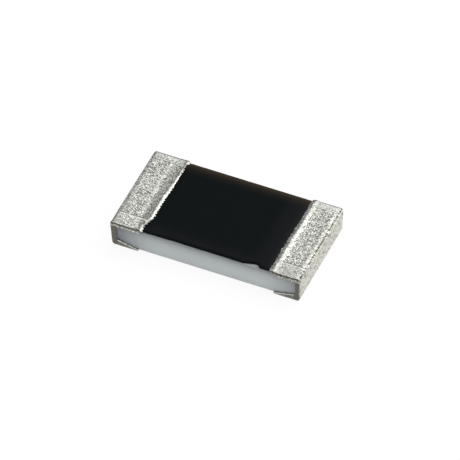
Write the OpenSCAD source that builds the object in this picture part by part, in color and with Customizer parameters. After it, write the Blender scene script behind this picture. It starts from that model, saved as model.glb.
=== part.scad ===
/* [Substrate] */
// Length of the ceramic substrate
substrate_l = 3.05; // [2.8:0.01:3.4]
// Width of the ceramic substrate
substrate_w = 1.63; // [1.45:0.01:1.9]
// Thickness of the ceramic substrate
substrate_t = 0.375; // [0.28:0.005:0.6]
// Bevel that scoring leaves along the lower long edges
score_bevel = 0.012; // [0.004:0.001:0.02]
// Undercut of the snapped left end over the substrate's thickness
undercut_left = 0.03; // [0:0.005:0.045]
// Undercut of the snapped right end over the substrate's thickness
undercut_right = 0.01; // [0:0.005:0.045]
// Bevel that snapping leaves along the lower end edges
snap_bevel = 0.04; // [0.03:0.005:0.045]
// Bevel of the substrate's upright corners
corner_bevel = 0.03; // [0.025:0.005:0.035]

/* [Printed electrodes] */
// Thickness of a printed electrode
electrode_t = 0.012; // [0.008:0.001:0.02]
// Strip of bare ceramic between an electrode and the long side
electrode_inset = 0.09; // [0.06:0.005:0.1]
// Length of a bottom electrode from the substrate's end
bottom_electrode_l = 0.255; // [0.2:0.005:0.35]

/* [Resistive film] */
// Length of the film with its overlaps on the top electrodes
film_l = 1.7; // [1.5:0.01:1.75]
// Width of the film
film_w = 1.2; // [1:0.01:1.25]
// Thickness of the film
film_t = 0.01; // [0.006:0.001:0.016]
// Overlap of the film on each top electrode
film_overlap = 0.08; // [0.04:0.01:0.14]
// Place of the trim cut from the film's left end
trim_from_end = 0.6; // [0.4:0.01:0.7]
// Length of the trim cut across the film
trim_across = 0.5; // [0.3:0.01:0.7]
// Length of the trim cut's leg along the film
trim_along = 0.42; // [0.2:0.01:0.5]
// Width of the laser kerf
kerf_w = 0.04; // [0.02:0.005:0.06]

/* [Coats] */
// Thickness of the glass coat
glass_t = 0.008; // [0.005:0.001:0.014]
// Margin of the glass coat round the film
glass_margin = 0.03; // [0.01:0.005:0.05]
// Thickness of the overcoat above the highest glass
coat_t = 0.014; // [0.008:0.001:0.024]
// Reach of the overcoat beyond the glass at each end
coat_margin = 0.246; // [0.2:0.001:0.28]
// Shift of the printed overcoat towards the right end
coat_shift = 0.026; // [0:0.002:0.03]
// Thickness of the overcoat at its two ends
coat_end_t = 0.004; // [0.002:0.001:0.006]
// Height of the overcoat's long edges above the electrodes
coat_side_t = 0.01; // [0.004:0.001:0.014]
// Strip of bare ceramic along the overcoat's front edge
coat_front_inset = 0.028; // [0.004:0.002:0.036]
// Width of the rolled strip along the overcoat's long edges
coat_roll = 0.08; // [0.04:0.005:0.1]
// Place of the chip in the overcoat's front edge, from the middle
chip_x = 0.74; // [-0.6:0.01:0.8]
// Length of the chip
chip_l = 0.24; // [0.16:0.01:0.3]
// Depth of the chip from the front edge
chip_depth = 0.085; // [0.06:0.005:0.085]

/* [Terminations] */
// Thickness of the conductive wrap
wrap_t = 0.018; // [0.014:0.001:0.026]
// Thickness of the wrap on the long sides
wrap_side_t = 0.006; // [0.004:0.001:0.012]
// Reach of the wrap round the long sides from the end
wrap_side_l = 0.03; // [0.02:0.005:0.08]
// Lap of the wrap over the overcoat's end
wrap_lap = 0.06; // [0.04:0.005:0.08]
// Thickness of the wrap at the crest of that lap
wrap_lap_t = 0.012; // [0.006:0.001:0.016]
// Recess of the left lap's edge at its front corner
lap_recess = 0.05; // [0.02:0.005:0.05]
// Extra reach of the left tin's creep towards its back corner
creep_reach = 0.03; // [0:0.005:0.03]
// Length over which the wrap thins out underneath
wrap_feather = 0.1; // [0.08:0.01:0.18]
// Thickness of the wrap where it ends underneath
wrap_feather_t = 0.004; // [0.003:0.001:0.006]
// Height of the wrap's slanting lower lip at the end, on the long sides
wrap_low_lip = 0.045; // [0.01:0.005:0.06]
// Radius of the wrap's upper long edges
wrap_r = 0.012; // [0.01:0.002:0.024]
// Radius of the wrap's shoulder between its top and its end
wrap_shoulder_r = 0.05; // [0.02:0.002:0.05]
// Radius of the wrap's upright corners
wrap_corner_r = 0.06; // [0.03:0.002:0.06]
// Radius of the wrap's lower long edges
wrap_low_r = 0.05; // [0.03:0.002:0.052]
// Radius of the wrap's heel between its end and its underside
wrap_heel_r = 0.11; // [0.06:0.002:0.11]
// Depth of the sunken field on top of the wrap
field_depth = 0.009; // [0.004:0.001:0.011]
// Rim of the sunken field along the front side
field_front_rim = 0.22; // [0.1:0.01:0.3]
// Rim of the sunken field along the back side
field_back_rim = 0.12; // [0.1:0.01:0.3]

/* [Plating] */
// Thickness of the nickel barrier
nickel_t = 0.01; // [0.006:0.001:0.014]
// Thickness of the tin
tin_t = 0.012; // [0.008:0.001:0.018]
// Creep of the tin over the overcoat
creep_l = 0.03; // [0.02:0.002:0.04]
// Thickness of the creeping tin
creep_t = 0.008; // [0.005:0.001:0.011]
// Number of nodules along the creeping edge
nodule_count = 44; // [20:1:60]
// Depth of the notches between nodules
nodule_depth = 0.012; // [0.004:0.001:0.014]
// Wander of the creeping edge
creep_wander = 0.006; // [0:0.001:0.008]

/* [Hidden] */
LAYER_WRAP = 1;
LAYER_NICKEL = 2;
LAYER_TIN = 3;
ARC_STEPS = 8;
NODULE_STEPS = 5;
RECESS_STEPS = 24;
RECESS_START = 0.62;
RECESS_RUN = 0.2;
ROUND_STEPS = 48;
WANDER_WAVES = 2.3;
WANDER_PHASE = 70;
PASS = 0.5;
SPAN = 6;
EPS = 0.002;
ROUNDING_CUT = 0.0015;

half_l = substrate_l / 2;
half_w = substrate_w / 2;
floor_z = electrode_t + wrap_t + nickel_t + tin_t;
deck_z = floor_z + substrate_t;
film_z = deck_z + electrode_t;
electrode_w = substrate_w - 2 * electrode_inset;
top_electrode_l = half_l - film_l / 2 + film_overlap;
glass_l = film_l + 2 * glass_margin;
glass_w = film_w + 2 * glass_margin;
coat_l = glass_l + 2 * coat_margin;
coat_h = film_t + glass_t + coat_t;
coat_ramp = coat_margin - coat_shift;
field_w = substrate_w - field_front_rim - field_back_rim;
field_y = (field_front_rim - field_back_rim) / 2;

function fine(value) = round(value * 10000) / 10000;
function eased(share) = sin(90 * min(max(share, 0), 1));

// Slope of a snapped end, side 1 right and -1 left
function undercut(side) = (side < 0 ? undercut_left : undercut_right) / substrate_t;

// Shift of a snapped end outwards at a height; none at the deck
function lean_x(z, side) = fine((z - deck_z) * undercut(side));

// Metal plated on the wrap, up to the named layer
function growth(layer) =
    layer == LAYER_TIN ? nickel_t + tin_t :
    layer == LAYER_NICKEL ? nickel_t : 0;

// Bare length of the top electrode from the substrate's end to the overcoat, side 1 right and -1 left
function bare_l(side) = half_l - coat_l / 2 - side * coat_shift;

// Height of the overcoat above the electrodes, at a distance inwards from its end
function coat_rise(inward) = coat_end_t + (coat_h - coat_end_t) * eased(inward / coat_ramp);

// Height of the overcoat above the electrodes, at a distance inwards from its long edge
function coat_roll_rise(inward) = coat_side_t + (coat_h - coat_side_t) * eased(inward / coat_roll);

// Step back of the lap's inner edge towards the end, at a share of the half width
function lap_step(share, side) =
    side < 0 ? lap_recess * eased((-share - RECESS_START) / RECESS_RUN) : 0;

// Edge of the creeping tin as an extra reach, at a share of the half width
function creep_edge(share, side) =
    creep_l - nodule_depth * (1 - abs(sin(90 * nodule_count * (share + 1))))
    + creep_wander * sin(180 * WANDER_WAVES * (share + 1) + WANDER_PHASE * side)
    + (side < 0 ? creep_reach * eased(share) : 0);

module along_x(length) {
    rotate([90, 0, 90])
        linear_extrude(height = length, center = true)
            children();
}

module along_y(length) {
    rotate([90, 0, 0])
        linear_extrude(height = length, center = true)
            children();
}

// Tilts what is drawn inwards of the end at the deck, so that it follows the undercut
module undercut_at(side, end_x) {
    translate([end_x, 0, deck_z])
        rotate([0, atan(undercut(side)), 0])
            children();
}

module slab(x0, x1, width, z0, z1) {
    translate([x0, -width / 2, z0])
        cube([x1 - x0, width, z1 - z0]);
}

module at_end(side) {
    mirror([side < 0 ? 1 : 0, 0, 0])
        children();
}

// Rectangle with one radius at its two lower corners and another at its two upper corners
module rounded_field(half_x, y0, y1, low_r, top_r) {
    translate([-half_x, y0 + low_r])
        square([2 * half_x, y1 - y0 - low_r - top_r]);
    translate([-half_x + low_r, y0])
        square([2 * (half_x - low_r), low_r]);
    translate([-half_x + top_r, y1 - top_r])
        square([2 * (half_x - top_r), top_r]);
    for (side = [-1, 1]) {
        translate([side * (half_x - low_r), y0 + low_r])
            circle(r = low_r, $fn = ROUND_STEPS);
        translate([side * (half_x - top_r), y1 - top_r])
            circle(r = top_r, $fn = ROUND_STEPS);
    }
}

// Alumina block with scored lower edges and undercut snapped ends
module substrate_body() {
    intersection() {
        along_x(SPAN)
            polygon([
                [-half_w + score_bevel, floor_z],
                [half_w - score_bevel, floor_z],
                [half_w, floor_z + score_bevel],
                [half_w, deck_z],
                [-half_w, deck_z],
                [-half_w, floor_z + score_bevel]
            ]);
        snapped_end(-1);
        snapped_end(1);
    }
}

// All that lies inwards of one snapped end, its lower bevel and its upright corner bevels
module snapped_end(side) {
    low_x = half_l + lean_x(floor_z, side) - snap_bevel;
    at_end(side)
        intersection() {
            along_y(SPAN)
                polygon([
                    [-SPAN, floor_z - PASS],
                    [low_x - PASS, floor_z - PASS],
                    [low_x + PASS, floor_z + PASS],
                    [-SPAN, floor_z + PASS]
                ]);
            undercut_at(side, half_l)
                linear_extrude(height = SPAN, center = true)
                    polygon([
                        [-SPAN, -half_w - PASS],
                        [-corner_bevel - PASS, -half_w - PASS],
                        [0, -half_w + corner_bevel],
                        [0, half_w - corner_bevel],
                        [-corner_bevel - PASS, half_w + PASS],
                        [-SPAN, half_w + PASS]
                    ]);
        }
}

module top_electrode_body(side) {
    at_end(side)
        slab(half_l - top_electrode_l, half_l, electrode_w, deck_z, film_z);
}

module bottom_electrode_body(side) {
    end_x = half_l + lean_x(floor_z, side);
    at_end(side)
        slab(end_x - bottom_electrode_l, end_x - snap_bevel, electrode_w, floor_z - electrode_t, floor_z);
}

module both_top_electrodes() {
    top_electrode_body(-1);
    top_electrode_body(1);
}

// Laser cut in from the film's front edge, then along it
module trim_cut() {
    cut_x = trim_from_end - film_l / 2;
    cut_y = -film_w / 2 - glass_margin - EPS;
    reach = trim_across + glass_margin + EPS;
    translate([cut_x, cut_y, deck_z - EPS])
        cube([kerf_w, reach, PASS]);
    translate([cut_x, cut_y + reach - kerf_w, deck_z - EPS])
        cube([trim_along, kerf_w, PASS]);
}

// Printed layer that follows the step of the top electrodes
module stepped_print(length, width, thickness) {
    step_x = half_l - top_electrode_l - thickness;
    slab(-length / 2, length / 2, width, deck_z, deck_z + thickness);
    slab(-length / 2, -step_x, width, deck_z, film_z + thickness);
    slab(step_x, length / 2, width, deck_z, film_z + thickness);
}

module film_body() {
    difference() {
        stepped_print(film_l, film_w, film_t);
        both_top_electrodes();
        trim_cut();
    }
}

module glass_body() {
    difference() {
        stepped_print(glass_l, glass_w, film_t + glass_t);
        both_top_electrodes();
        stepped_print(film_l, film_w, film_t);
        trim_cut();
    }
}

// Overcoat with soft ends, rolled long edges and the chip in its front edge
module coat_body() {
    difference() {
        intersection() {
            translate([coat_shift, 0, 0])
                along_y(substrate_w)
                    polygon([
                        [-coat_l / 2, deck_z],
                        for (i = [0 : ARC_STEPS])
                            [-coat_l / 2 + fine(coat_ramp * i / ARC_STEPS),
                                fine(film_z + coat_rise(coat_ramp * i / ARC_STEPS))],
                        for (i = [ARC_STEPS : -1 : 0])
                            [coat_l / 2 - fine(coat_ramp * i / ARC_STEPS),
                                fine(film_z + coat_rise(coat_ramp * i / ARC_STEPS))],
                        [coat_l / 2, deck_z]
                    ]);
            along_x(substrate_l)
                polygon([
                    [-half_w + coat_front_inset, deck_z],
                    for (i = [0 : ARC_STEPS])
                        [-half_w + coat_front_inset + fine(coat_roll * i / ARC_STEPS),
                            fine(film_z + coat_roll_rise(coat_roll * i / ARC_STEPS))],
                    for (i = [ARC_STEPS : -1 : 0])
                        [half_w - fine(coat_roll * i / ARC_STEPS),
                            fine(film_z + coat_roll_rise(coat_roll * i / ARC_STEPS))],
                    [half_w, deck_z]
                ]);
        }
        both_top_electrodes();
        film_body();
        glass_body();
        translate([chip_x, -half_w, deck_z - EPS])
            linear_extrude(height = PASS)
                polygon([
                    [-chip_l / 2, -EPS],
                    [chip_l / 2, -EPS],
                    [chip_l / 2 - chip_depth / 2, chip_depth],
                    [-chip_l / 4, chip_depth / 2]
                ]);
    }
}

// Outer form of one end up to the named layer, drawn at the right end
module wrap_envelope(layer, side) {
    grown = growth(layer);
    foot_x = half_l - bare_l(side);
    crest_x = foot_x - wrap_lap;
    rim_z = film_z + wrap_t + grown;
    field_z = rim_z - field_depth;
    crest_z = fine(film_z + coat_rise(wrap_lap)) + wrap_lap_t + grown;
    difference() {
        union() {
            end_block(grown, side, foot_x, rim_z);
            lap_block(layer, side, foot_x, rim_z, crest_x, crest_z);
        }
        translate([0, field_y, 0])
            along_y(field_w - 2 * grown)
                polygon([
                    [SPAN, field_z],
                    [foot_x, field_z],
                    [crest_x, crest_z],
                    [crest_x, rim_z + PASS],
                    [SPAN, rim_z + PASS]
                ]);
    }
}

// Top plate, end plate and thinning bottom plate, rounded along the outer edges
module end_block(grown, side, foot_x, rim_z) {
    lip = wrap_side_t + grown;
    low_lip_z = floor_z + wrap_low_lip + grown;
    side_y = half_w + lip;
    base_z = floor_z - electrode_t - wrap_t - grown;
    band_x = half_l - wrap_side_l - grown;
    under_x = half_l - bottom_electrode_l - grown + lean_x(floor_z, side);
    intersection() {
        union() {
            slab(foot_x, SPAN, 2 * side_y, deck_z - lip, rim_z);
            along_y(2 * side_y)
                polygon([
                    [band_x + lean_x(base_z, side), base_z],
                    [SPAN, base_z],
                    [SPAN, rim_z],
                    [band_x + lean_x(rim_z, side), rim_z]
                ]);
            along_y(2 * side_y)
                polygon([
                    [SPAN, base_z],
                    [SPAN, low_lip_z],
                    [band_x + lean_x(base_z, side), low_lip_z],
                    [under_x - wrap_feather, floor_z],
                    [under_x - wrap_feather, floor_z - wrap_feather_t - grown],
                    [under_x, base_z]
                ]);
        }
        along_x(SPAN)
            rounded_field(side_y, base_z, rim_z, wrap_low_r + grown, wrap_r + grown);
        rounded_end(grown, side, side_y, base_z, rim_z);
    }
}

// All that lies inwards of the wrap's end face with its rounded shoulder, heel and upright corners
module rounded_end(grown, side, side_y, base_z, rim_z) {
    top_r = wrap_shoulder_r + grown;
    low_r = wrap_heel_r + grown;
    corner_r = wrap_corner_r + grown;
    tilt = atan(undercut(side));
    low_z = (base_z - ROUNDING_CUT + low_r * (1 - sin(tilt)) - deck_z) / cos(tilt);
    top_z = (rim_z + ROUNDING_CUT - top_r * (1 + sin(tilt)) - deck_z) / cos(tilt);
    undercut_at(side, half_l + wrap_t + grown)
        intersection() {
            along_y(SPAN) {
                translate([-SPAN, -SPAN / 2])
                    square([SPAN - low_r, SPAN]);
                translate([-low_r, low_z])
                    square([low_r - top_r, SPAN / 2]);
                translate([-top_r, low_z])
                    square([top_r, top_z - low_z]);
                translate([-low_r, low_z])
                    circle(r = low_r, $fn = ROUND_STEPS);
                translate([-top_r, top_z])
                    circle(r = top_r, $fn = ROUND_STEPS);
            }
            translate([-SPAN / 2, 0, -SPAN / 2])
                linear_extrude(height = SPAN)
                    rounded_field(SPAN / 2, -side_y, side_y, corner_r, corner_r);
        }
}

// Metal that climbs the overcoat's end; the tin goes on from there as a creeping, nodular edge
module lap_block(layer, side, foot_x, rim_z, crest_x, crest_z) {
    grown = growth(layer);
    creeps = layer == LAYER_TIN;
    lip = wrap_side_t + grown;
    side_y = half_w + lip;
    top_r = wrap_r + grown;
    tip_x = crest_x - grown;
    creep_x = creeps ? tip_x - 2 * creep_l - creep_reach : tip_x;
    creep_z = fine(film_z + coat_rise(wrap_lap + grown + creep_l)) + creep_t;
    steps = creeps ? nodule_count * NODULE_STEPS : RECESS_STEPS;
    intersection() {
        along_y(2 * side_y)
            polygon([
                [foot_x + EPS, deck_z - lip],
                [foot_x + EPS, rim_z],
                [foot_x, rim_z],
                [crest_x, crest_z],
                [tip_x, crest_z],
                if (creeps)
                    [tip_x - creep_l / 2, creep_z],
                if (creeps)
                    [creep_x, creep_z],
                [creep_x, deck_z - lip]
            ]);
        along_x(SPAN)
            rounded_field(side_y, floor_z, crest_z, top_r, top_r);
        translate([0, 0, floor_z])
            linear_extrude(height = PASS)
                polygon([
                    [half_l, side_y],
                    [half_l, -side_y],
                    [tip_x + lap_step(-1, side), -side_y],
                    for (i = [0 : steps])
                        let (share = 2 * i / steps - 1)
                            [fine(tip_x + lap_step(share, side) - (creeps ? creep_edge(share, side) : 0)),
                                fine(half_w * share)],
                    [tip_x, side_y]
                ]);
    }
}

// What lies under the plating at one end
module under_wrap(side) {
    substrate_body();
    top_electrode_body(side);
    bottom_electrode_body(side);
    coat_body();
}

module wrap_layer(layer, side) {
    difference() {
        at_end(side)
            wrap_envelope(layer, side);
        if (layer > LAYER_WRAP)
            at_end(side)
                wrap_envelope(layer - 1, side);
        under_wrap(side);
    }
}

module ceramic_substrate() {
    color([0.86, 0.88, 0.9])
        substrate_body();
}

module top_electrode(side) {
    color([0.75, 0.74, 0.7])
        top_electrode_body(side);
}

module bottom_electrode(side) {
    color([0.75, 0.74, 0.7])
        bottom_electrode_body(side);
}

module resistive_film() {
    color([0.2, 0.18, 0.17])
        film_body();
}

module glass_coat() {
    color([0.35, 0.45, 0.4])
        glass_body();
}

module black_overcoat() {
    color([0.09, 0.1, 0.1])
        coat_body();
}

module end_termination(side) {
    color([0.62, 0.6, 0.56])
        wrap_layer(LAYER_WRAP, side);
}

module nickel_barrier(side) {
    color([0.7, 0.68, 0.6])
        wrap_layer(LAYER_NICKEL, side);
}

module tin_plating(side) {
    color([0.78, 0.79, 0.78])
        wrap_layer(LAYER_TIN, side);
}

ceramic_substrate();
bottom_electrode(-1);  // bottom_electrode_left
bottom_electrode(1);  // bottom_electrode_right
top_electrode(-1);  // top_electrode_left
top_electrode(1);  // top_electrode_right
resistive_film();
glass_coat();
black_overcoat();
end_termination(-1);  // end_termination_left
end_termination(1);  // end_termination_right
nickel_barrier(-1);  // nickel_barrier_left
nickel_barrier(1);  // nickel_barrier_right
tin_plating(-1);  // tin_plating_left
tin_plating(1);  // tin_plating_right
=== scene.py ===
import math
import random
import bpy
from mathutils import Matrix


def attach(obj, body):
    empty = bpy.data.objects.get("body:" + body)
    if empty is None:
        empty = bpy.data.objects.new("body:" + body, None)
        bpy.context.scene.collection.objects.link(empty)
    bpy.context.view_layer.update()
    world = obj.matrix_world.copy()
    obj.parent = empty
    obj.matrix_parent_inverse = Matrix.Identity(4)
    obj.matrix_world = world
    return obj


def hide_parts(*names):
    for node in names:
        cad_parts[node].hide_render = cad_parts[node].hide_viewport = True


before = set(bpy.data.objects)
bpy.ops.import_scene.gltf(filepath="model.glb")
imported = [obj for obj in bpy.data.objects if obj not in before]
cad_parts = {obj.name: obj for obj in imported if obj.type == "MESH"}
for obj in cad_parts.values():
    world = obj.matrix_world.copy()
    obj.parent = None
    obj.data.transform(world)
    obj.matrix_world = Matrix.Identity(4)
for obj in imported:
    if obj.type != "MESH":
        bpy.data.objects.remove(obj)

from types import SimpleNamespace

import bmesh
import bpy
import numpy as np
from mathutils import Matrix, Vector, noise

scene = bpy.context.scene
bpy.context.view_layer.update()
print("frame loaded:", len(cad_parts), "nodes")

# Shapes are built upright in millimetres; finished ones get the undercut of the snapped ends
snapped = {"deck": 0.427, "places": (-1.1, 1.1), "slopes": (0.08, -0.0267), "metresPerMm": 0.001}


# small mesh helpers
def addPiece(bm, name):
    mesh = bpy.data.meshes.new(name)
    bm.to_mesh(mesh)
    bm.free()
    piece = bpy.data.objects.new(name, mesh)
    scene.collection.objects.link(piece)
    return piece


def applyModifiers(piece):
    state = bpy.context.evaluated_depsgraph_get()
    baked = bpy.data.meshes.new_from_object(piece.evaluated_get(state))
    raw = piece.data
    piece.modifiers.clear()
    piece.data = baked
    bpy.data.meshes.remove(raw)


def voxelSkin(piece, size):
    skin = piece.modifiers.new("skin", "REMESH")
    skin.mode = "VOXEL"
    skin.voxel_size = size
    applyModifiers(piece)


def cutAway(piece, cutter):
    cut = piece.modifiers.new("cut", "BOOLEAN")
    cut.operation = "DIFFERENCE"
    cut.solver = "MANIFOLD"
    cut.object = cutter
    applyModifiers(piece)


def dropPiece(piece):
    mesh = piece.data
    bpy.data.objects.remove(piece)
    bpy.data.meshes.remove(mesh)


def readPoints(mesh, field="co"):
    flat = np.empty(len(mesh.vertices) * 3)
    mesh.vertices.foreach_get(field, flat)
    return flat.reshape(-1, 3)


def writePoints(mesh, points):
    mesh.vertices.foreach_set("co", np.ascontiguousarray(points).ravel())
    mesh.update()


def ease(value, low, high):            # smooth rise from 0 to 1
    t = np.clip((value - low) / (high - low), 0.0, 1.0)
    return t * t * (3.0 - 2.0 * t)


def bump(value, middle, width):        # soft ridge of height 1
    return np.exp(-(((value - middle) / width) ** 2))


def ripple(points, size, seed):        # smooth noise from about -1 to 1
    shift = Vector((seed * 7.31, seed * 3.17, seed * 5.53))
    return np.array([noise.noise(Vector(p) / size + shift) for p in points])


def patchy(points, size, middle, gain, most, seed):     # noise between 0 and most
    return np.clip(middle + gain * ripple(points, size, seed), 0.0, most)


def addMask(piece, name, values):      # soft mask that a finish reads as an attribute
    mask = piece.data.attributes.new(name, "FLOAT", "POINT")
    mask.data.foreach_set("value", np.clip(values, 0.0, 1.0).astype(np.float32))


def sweptOutline(outline, y0, y1):     # closed prism from an X-Z outline
    bm = bmesh.new()
    face = bm.faces.new([bm.verts.new((x, y0, z)) for x, z in outline])
    swept = bmesh.ops.extrude_face_region(bm, geom=[face], use_keep_orig=True)
    moved = [v for v in swept["geom"] if isinstance(v, bmesh.types.BMVert)]
    bmesh.ops.translate(bm, verts=moved, vec=(0.0, y1 - y0, 0.0))
    bmesh.ops.recalc_face_normals(bm, faces=bm.faces)
    return bm


def roundPair(a, b, limitA, limitB, radius):      # pulls points inside a rounded edge
    da = np.maximum(0.0, a - (limitA - radius))
    db = np.maximum(0.0, b - (limitB - radius))
    far = np.hypot(da, db)
    keep = np.where(far > radius, radius / np.maximum(far, 1e-9), 1.0)
    return a - da * (1.0 - keep), b - db * (1.0 - keep)


def roundEdges(bm, chosen, radius, segments):
    edges = [e for e in bm.edges if chosen(*[v.co for v in e.verts])]
    bmesh.ops.bevel(bm, geom=edges, offset=radius, affect="EDGES", segments=segments,
                    profile=0.5, material=-1, clamp_overlap=True)


def mirrorTo(bm, side):
    bmesh.ops.scale(bm, verts=bm.verts, vec=(side, 1.0, 1.0))
    bmesh.ops.recalc_face_normals(bm, faces=bm.faces)


def finishPiece(piece, node, finish):
    p = readPoints(piece.data)
    depth = np.maximum(0.0, snapped["deck"] - p[:, 2])
    p[:, 0] += np.interp(p[:, 0], snapped["places"], snapped["slopes"]) * depth
    writePoints(piece.data, p * snapped["metresPerMm"])
    piece.data.shade_smooth()
    piece.data.materials.clear()
    piece.data.materials.append(finish)
    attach(piece, "root")
    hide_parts(node)


# shared finishes
def addNode(tree, kind, **values):
    node = tree.nodes.new(kind)
    for key, value in values.items():
        if key in node.inputs:
            node.inputs[key].default_value = value
        else:
            setattr(node, key, value)
    return node


def addRamp(tree, stops):
    ramp = tree.nodes.new("ShaderNodeValToRGB")
    line = ramp.color_ramp
    while len(line.elements) < len(stops):
        line.elements.new(0.5)
    for element, (place, shade) in zip(line.elements, stops):
        element.position = place
        element.color = (*shade, 1.0)
    return ramp


def newGroup(name, sockets):
    tree = bpy.data.node_groups.new(name, "ShaderNodeTree")
    for label, direction, kind, value in sockets:
        socket = tree.interface.new_socket(label, in_out=direction, socket_type=kind)
        if value is not None:
            socket.default_value = value
    start = tree.nodes.new("NodeGroupInput")
    end = tree.nodes.new("NodeGroupOutput")
    return tree, start, end


def buildCrystalGrain():               # random crystals with soft clumps, for plated metal
    tree, start, end = newGroup("crystalGrain", [
        ("Crystals", "INPUT", "NodeSocketFloat", 40000.0),
        ("Clumps", "INPUT", "NodeSocketFloat", 9000.0),
        ("Tone", "OUTPUT", "NodeSocketFloat", None),
        ("Height", "OUTPUT", "NodeSocketFloat", None),
    ])
    link = tree.links.new
    where = addNode(tree, "ShaderNodeTexCoord").outputs["Object"]
    cells = addNode(tree, "ShaderNodeTexVoronoi", feature="F1")
    link(where, cells.inputs["Vector"])
    link(start.outputs["Crystals"], cells.inputs["Scale"])
    split = addNode(tree, "ShaderNodeSeparateColor")
    link(cells.outputs["Color"], split.inputs["Color"])
    clumps = addNode(tree, "ShaderNodeTexNoise", Detail=2.0, Roughness=0.6)
    link(where, clumps.inputs["Vector"])
    link(start.outputs["Clumps"], clumps.inputs["Scale"])
    mix = addNode(tree, "ShaderNodeMix", data_type="FLOAT", Factor=0.1)
    link(split.outputs["Red"], mix.inputs["A"])
    link(clumps.outputs["Fac"], mix.inputs["B"])
    link(mix.outputs["Result"], end.inputs["Tone"])
    lift = addNode(tree, "ShaderNodeMath", operation="SUBTRACT")
    link(split.outputs["Green"], lift.inputs[0])
    link(cells.outputs["Distance"], lift.inputs[1])
    link(lift.outputs["Value"], end.inputs["Height"])
    return tree


def buildSoftMottle():                 # slow and fine unevenness of fired and printed layers
    tree, start, end = newGroup("softMottle", [
        ("Broad", "INPUT", "NodeSocketFloat", 1500.0),
        ("Fine", "INPUT", "NodeSocketFloat", 60000.0),
        ("Tone", "OUTPUT", "NodeSocketFloat", None),
        ("Height", "OUTPUT", "NodeSocketFloat", None),
    ])
    link = tree.links.new
    where = addNode(tree, "ShaderNodeTexCoord").outputs["Object"]
    broad = addNode(tree, "ShaderNodeTexNoise", Detail=3.0, Roughness=0.55)
    fine = addNode(tree, "ShaderNodeTexNoise", Detail=2.0, Roughness=0.6)
    for pattern, label in ((broad, "Broad"), (fine, "Fine")):
        link(where, pattern.inputs["Vector"])
        link(start.outputs[label], pattern.inputs["Scale"])
    mix = addNode(tree, "ShaderNodeMix", data_type="FLOAT", Factor=0.4)
    link(broad.outputs["Fac"], mix.inputs["A"])
    link(fine.outputs["Fac"], mix.inputs["B"])
    link(mix.outputs["Result"], end.inputs["Tone"])
    link(fine.outputs["Fac"], end.inputs["Height"])
    return tree


crystalGrain = buildCrystalGrain()
softMottle = buildSoftMottle()


def newFinish(name):
    finish = bpy.data.materials.new(name)
    finish.use_nodes = True
    tree = finish.node_tree
    tree.nodes.clear()
    shader = addNode(tree, "ShaderNodeBsdfPrincipled")
    out = addNode(tree, "ShaderNodeOutputMaterial")
    tree.links.new(shader.outputs["BSDF"], out.inputs["Surface"])
    return finish, tree, shader


def placeGroup(tree, group, **values):
    node = tree.nodes.new("ShaderNodeGroup")
    node.node_tree = group
    for key, value in values.items():
        node.inputs[key].default_value = value
    return node


def feedBump(tree, shader, height, depth):
    relief = addNode(tree, "ShaderNodeBump", Strength=1.0, Distance=depth)
    tree.links.new(height, relief.inputs["Height"])
    tree.links.new(relief.outputs["Normal"], shader.inputs["Normal"])


tinLook = {
    "crystals": 68000.0, "clumps": 16000.0,
    "shades": [(0.12, (0.15, 0.148, 0.117)), (0.4, (0.42, 0.425, 0.382)), (0.64, (0.68, 0.70, 0.655)),
               (0.88, (1.0, 1.0, 0.96))],
    "gloss": [(0.2, (0.48, 0.48, 0.48)), (0.8, (0.34, 0.34, 0.34))],
    "spots": 24000.0,
    "endShades": [(0.40, (0.16, 0.155, 0.125)), (0.46, (0.56, 0.555, 0.495)), (0.6, (0.72, 0.72, 0.65))],
    # painted highlight tone, painted shade tone and painted deep shade tone, in this order
    "highlightTone": (0.93, 0.945, 0.90), "paintedLight": (0.12, 0.113, 0.093), "deepShadeTone": (0.03, 0.026, 0.02),
    "relief": 0.0000014,
}


def blend(tree, factor, first, second):
    mix = addNode(tree, "ShaderNodeMix", data_type="RGBA", blend_type="MIX")
    for slot, value in ((0, factor), (6, first), (7, second)):
        if isinstance(value, bpy.types.NodeSocket):
            tree.links.new(value, mix.inputs[slot])
        else:
            mix.inputs[slot].default_value = value if slot == 0 else (*value, 1.0)
    return mix.outputs[2]


def pointMask(tree, name):
    return addNode(tree, "ShaderNodeAttribute", attribute_name=name).outputs["Fac"]


def buildTinFinish():
    finish, tree, shader = newFinish("matteTin")
    link = tree.links.new
    grain = placeGroup(tree, crystalGrain, Crystals=tinLook["crystals"], Clumps=tinLook["clumps"])
    shades = addRamp(tree, tinLook["shades"])
    gloss = addRamp(tree, tinLook["gloss"])
    link(grain.outputs["Tone"], shades.inputs["Fac"])
    link(grain.outputs["Tone"], gloss.inputs["Fac"])
    # painted highlight where the point mask is high
    colour = blend(tree, pointMask(tree, "bright"), shades.outputs["Color"], tinLook["highlightTone"])
    spots = placeGroup(tree, softMottle, Broad=tinLook["spots"], Fine=tinLook["crystals"])
    endShades = addRamp(tree, tinLook["endShades"])
    link(spots.outputs["Tone"], endShades.inputs["Fac"])
    colour = blend(tree, pointMask(tree, "endFace"), colour, endShades.outputs["Color"])
    # painted shade, then painted deep shade, from two point masks
    colour = blend(tree, pointMask(tree, "paintedShade"), colour, tinLook["paintedLight"])
    colour = blend(tree, pointMask(tree, "paintedDeepShade"), colour, tinLook["deepShadeTone"])
    link(colour, shader.inputs["Base Color"])
    link(gloss.outputs["Color"], shader.inputs["Roughness"])
    shader.inputs["Metallic"].default_value = 1.0
    feedBump(tree, shader, grain.outputs["Height"], tinLook["relief"])
    return finish


mottleStops = {"tone": (0.35, 0.65), "gloss": (0.3, 0.7)}


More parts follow.
